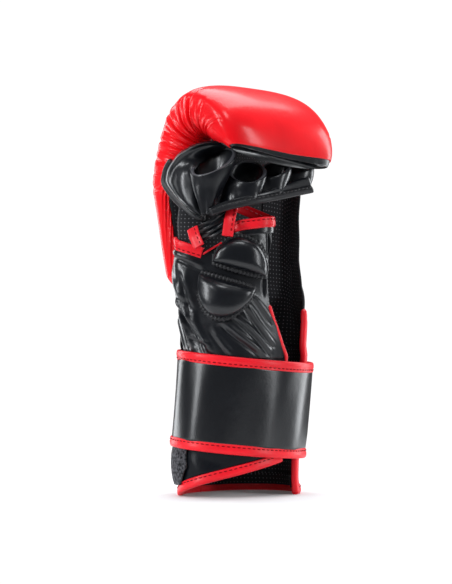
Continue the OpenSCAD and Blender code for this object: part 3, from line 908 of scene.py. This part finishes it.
oval_tape("side_opening_edge", edge_angle, edge_z, 1.6, 1.6, 1.4)
print("walls made")

# %% [markdown]
# ## Thumb loop and web
# The thumb goes through a ring of red tape that lies on the palm heel. From its corner a strip of tape
# runs down beside the web, a short strap of gathered leather that ties the ring to the side opening.
# They all turn with the thumb.

# %% Thumb loop
def seen(u, d, z):
    """A point placed as it is seen: u mm to the right, d mm towards the viewer, z mm up."""
    u, d, z = np.broadcast_arrays(*[np.asarray(v, dtype=float) for v in (u, d, z)])
    return np.stack([right.x * u + back.x * d, right.y * u + back.y * d, z], axis=-1)


def smoothed(points, count, rounds=60):
    """A smooth path through a few points."""
    points = np.array(points, dtype=float)
    run = np.concatenate([[0], np.cumsum(np.linalg.norm(np.diff(points, axis=0), axis=1))])
    at = np.linspace(0, run[-1], count)
    path = np.stack([np.interp(at, run, points[:, k]) for k in range(points.shape[1])], -1)
    for _ in range(rounds):
        mid = (np.roll(path, 1, 0) + 2 * path + np.roll(path, -1, 0)) / 4
        path = np.concatenate([path[:1], mid[1:-1], path[-1:]])
    return path


thumb_low, thumb_high = box_mm("thumb_loop")
thumb_mid = (thumb_low + thumb_high) / 2
thumb_u = float(thumb_mid @ np.array([right.x, right.y, 0]))
thumb_d = float(thumb_mid @ np.array([back.x, back.y, 0]))
ring_turn = np.radians(np.linspace(-212, 176, 180))
ring_rise = np.where(ring_turn < 0, 192.6 - 6.4 * np.cos(ring_turn),
                     np.interp(np.degrees(ring_turn), [0, 50, 110, 150, 176],
                               [186.2, 186, 184.0, 181.0, 178.5]))
ring_path = seen(thumb_u + 15.6 * np.cos(ring_turn), thumb_d + 11.5 * np.sin(ring_turn), ring_rise)
ring_out = unit(seen(np.cos(ring_turn), 1.3 * np.sin(ring_turn), 0))
ring_up = upwards(unit(np.cross(ring_out, heading(ring_path))))
thumb_tape = sweep("thumb_ring_tape", ring_path, ring_out, ring_up, tape_section(2.8, 7.2, 1.9), red_tape,
                   "thumb", replaces=("thumb_loop_top_binding",))
stitch_row("thumb_ring_stitches", ring_path + ring_out * 1.15 + ring_up * 1.9, ring_out, thread_red,
           thumb_tape)
stitch_row("thumb_ring_inner_stitches", ring_path - ring_out * 1.45 + ring_up * 1.2, -ring_out, thread_pale,
           thumb_tape)
skirt = (ring_path - ring_up * 4.6 - ring_out * 0.6)[80:]
sweep("thumb_ring_leather", skirt, ring_out[80:], ring_up[80:], tape_section(1.8, 6.4), black_leather,
      "thumb", replaces=("thumb_loop",))


def flat_strip(name, points, wide, thick, out, groove=None, **kw):
    """A flat strip through a few points, smoothed, facing out."""
    path = smoothed(points, 60)
    out = np.repeat(unit(np.array([out], dtype=float)), len(path), axis=0)
    up = unit(np.cross(out, heading(path)))
    out = unit(np.cross(heading(path), up))
    strip = sweep(name, path, out, up, tape_section(thick, wide, groove), red_tape, "thumb", **kw)
    if groove is not None:
        line = path + out * (thick / 2 - 0.3) + up * groove
        stitch_row(name + "_stitches", line, out, thread_red, strip)


face = (-0.68, -0.73, 0.05)
flat_strip("web_edge_tape", seen([-6.0, -8.0, -9.5], [38, 45, 49], [198.0, 187.5, 176.5]), 7.6, 2.4,
           face, groove=2.0, replaces=("thumb_loop_bottom_binding",))
flat_strip("web_tab_tape", seen([-33.0, -31.5, -28.5], [42, 46, 49], [181.5, 176, 169.5]), 8.0, 2.4,
           (-0.9, -0.5, 0.0), groove=1.8, replaces=("web_tab",))
web_u = np.linspace(0, 1, 50)[:, None]
web_v = np.linspace(0, 1, 80)[None]
web_angle = -77 + 30 * web_u + 2 * web_v
web_z = (170 + 9 * web_u) * (1 - web_v) + (182.5 + 10 * web_u) * web_v
web_phase = web_v * np.pi * 3.2 + 1.1 * np.sin(web_u * 4) + 0.6 * web_u
web_fold = 2.2 * np.abs(np.sin(web_phase)) ** 0.8 * (0.6 + 0.4 * np.cos(web_u * 7 + web_v * 5))
web_fold = web_fold + 1.2 * np.sin(np.pi * web_u)
web = raised(web_angle, web_z, 1.2, web_fold)
sheet("web_strap_gathered", web, 1.4, black_leather, "thumb", replaces=("web_strap",))
print("thumb loop ring", round(float(np.ptp(ring_path[:, 0]))), "mm wide")

# %% [markdown]
# ## Finger loops and grip strip
# Each finger goes through a leather loop under the curl. A loop is a short tube that leans towards the
# palm, narrows downwards to the grip strip and has a fine rolled seam round its mouth. The index loop
# is larger, since its outer side follows the rim of the padding.


# %% Finger loops
def finger_loop(name, mouth, base, node, pleats):
    """A tapered tube: mouth (u, d, z, half width, half depth, slope, tilt), base (the first five)."""
    u, d, z, wide, deep, slope, tilt = mouth
    turn = np.linspace(0, 2 * np.pi, 121)[:, None]
    v = np.linspace(0, 1, 50)[None]
    top = seen(u + wide * np.cos(turn), d + deep * np.sin(turn),
               z - slope * np.sin(turn) + tilt * np.cos(turn))
    foot = seen(base[0] + base[3] * np.cos(turn), base[1] + base[4] * np.sin(turn),
                base[2] - 0.3 * np.sin(turn))
    ease = v ** 1.05
    grid = top * (1 - ease[..., None]) + foot * ease[..., None]
    ripple = 0.9 * np.sin(pleats * turn + 3 * v + u) * v + 0.5 * np.sin(2 * turn + 5 * v) * np.sin(np.pi * v)
    away = seen(np.cos(turn), np.sin(turn), 0)
    grid = grid + away * (ripple + 0.3 * np.sin(np.pi * v ** 0.6))[..., None]
    loop = sheet(name, grid, 1.4, black_leather, "fingers", outward=-1, replaces=(node,))
    rim = grid[:-1, 0]
    along_rim = unit(np.roll(rim, -1, 0) - np.roll(rim, 1, 0))
    out = unit(np.broadcast_to(away[:-1, 0], rim.shape))
    # The rolled seam is painted lighter grey, as a highlight along the mouth's edge.
    sweep(name + "_rolled_seam", rim - out * 0.5, out, unit(np.cross(along_rim, out)),
          tape_section(2.3, 1.2, steps=12), painted_highlight_edge, None, closed=True).parent = loop
    stitch_row(name + "_stitches", rim + out * 0.4 - UP * 2.2, out, thread_black, loop, length=1.6, pitch=2.6,
               radius=0.25)


LOOPS = [
    ("index", (-19.0, 41.0, 226, 14.5, 11.0, 7.0, 6.0), (-24.0, 42, 191.5, 2.2, 3.0), 5),
    ("middle", (4.0, 31.0, 219.5, 12.0, 12.0, 7.5, 0.0), (-2.0, 37, 198.5, 11.5, 7.5), 4),
    ("ring", (21.5, 17.0, 221.5, 11.5, 12.0, 5.5, 2.5), (17.0, 22, 203, 11.0, 9.0), 4),
    ("little", (37.5, 1.5, 222.5, 11.0, 11.0, 3.5, 2.0), (33.0, 7, 207, 11.5, 8.0), 4),
]
for finger, mouth, base, pleats in LOOPS:
    finger_loop(finger + "_finger_loop", mouth, base, finger + "_loop", pleats)

# %% [markdown]
# The index finger's side wall is one puffed piece of leather from the rim of the padding to the mouth
# of the loop, with a padded, bound edge below.

# %% Index side wall
WALL_ROWS = 140
WALL_FACE = seen(-0.35, 0.94, 0)
wall_outer = smoothed(seen([-9, -22, -32, -42.5, -50, -52.5, -46, -38.5, -31, -25],
                           [40, 40, 39, 31, 22, 19, 25, 32, 36, 38],
                           [240.5, 240.5, 238.5, 233, 223, 213, 204, 196, 190, 189]), WALL_ROWS, 30)
wall_inner = smoothed(seen([-10, -21, -29, -33, -33, -31.5, -29, -26],
                           [33, 32, 36, 40, 42, 42, 41, 40],
                           [236, 230, 223.5, 219, 213, 205, 197, 191.5]), WALL_ROWS, 30)
span = np.linspace(0, 1, 50)[None, :, None]
puff = np.sin(np.pi * span[..., 0]) ** 0.7 * 5.0 + 2.5 * bell(span[..., 0] - 0.18, 0.12)
puff = puff + 0.35 * np.sin(span[..., 0] * 9 + np.linspace(0, 14, WALL_ROWS)[:, None])
side_wall_grid = wall_outer[:, None] * (1 - span) + wall_inner[:, None] * span
side_wall_grid = side_wall_grid + WALL_FACE * puff[..., None]
sheet("index_side_wall", side_wall_grid, 1.4, black_leather, "fingers", outward=1)
roll_out = heading(wall_outer)
roll_side = np.repeat(WALL_FACE[None], WALL_ROWS, axis=0)
roll_up = unit(np.cross(roll_out, roll_side))
sweep("index_wall_bound_edge", wall_outer[62:], unit(np.cross(roll_up, roll_out))[62:], roll_up[62:],
      tape_section(5.0, 5.6, steps=20), black_tape, "fingers")

# %% Grip strip
strip_t = np.linspace(0, 1, 90)
strip_path = smoothed(seen([-22.5, -13, 0, 16, 32, 45.5], [47.5, 46.5, 44, 35.5, 21, 8],
                           [194.0, 198.4, 201.6, 204.8, 209.8, 214.0]), 90, 60)
strip_out = unit(np.stack([-0.15 + 0 * strip_t, -1 + 0 * strip_t, 0.15 + 0 * strip_t], -1))
strip_run = heading(strip_path)
strip_up = upwards(unit(np.cross(strip_out, strip_run)))
strip_high = np.interp(strip_t, [0, 0.2, 0.5, 1], [1.2, 2.4, 3.0, 8.0])
strip_section = tape_section(5.6, 1.0)[None] * np.stack([np.ones(90), strip_high], -1)[:, None]
sweep("grip_strip", strip_path, strip_out, strip_up, strip_section, black_leather, "fingers",
      replaces=("grip_bar",))
hem_path = strip_path - strip_up * (strip_high / 2 + 1.9)[:, None] + strip_out * 0.8
hem = sweep("grip_strip_hem", hem_path, strip_out, strip_up, tape_section(5.2, 5.0, 1.4), black_tape,
            "fingers", replaces=("grip_bar_binding",))
stitch_row("grip_strip_stitches", hem_path + strip_out * 2.4 + strip_up * 1.4, strip_out, thread_black, hem)
print("finger loops and grip strip made")

# %% [markdown]
# ## Floor
# The floor is a plain pale sheet.

# %% Floor and finish
FLOOR_RADIUS = 0.36
floor_mesh = bpy.data.meshes.new("floor")
turn = np.radians(np.arange(0, 360, 5))
floor_ring = [(FLOOR_RADIUS * math.cos(a), FLOOR_RADIUS * math.sin(a), 0) for a in turn]
floor_mesh.from_pydata(floor_ring, [], [tuple(range(len(turn)))])
floor = add_object("floor", floor_mesh)
white, _, floor_shader = new_material("pale floor", (0.74, 0.74, 0.74), 0.7, specular=0.1)
floor_shader.inputs["Emission Color"].default_value = (1, 1, 1, 1)
floor_shader.inputs["Emission Strength"].default_value = 0.05
floor_mesh.materials.append(white)
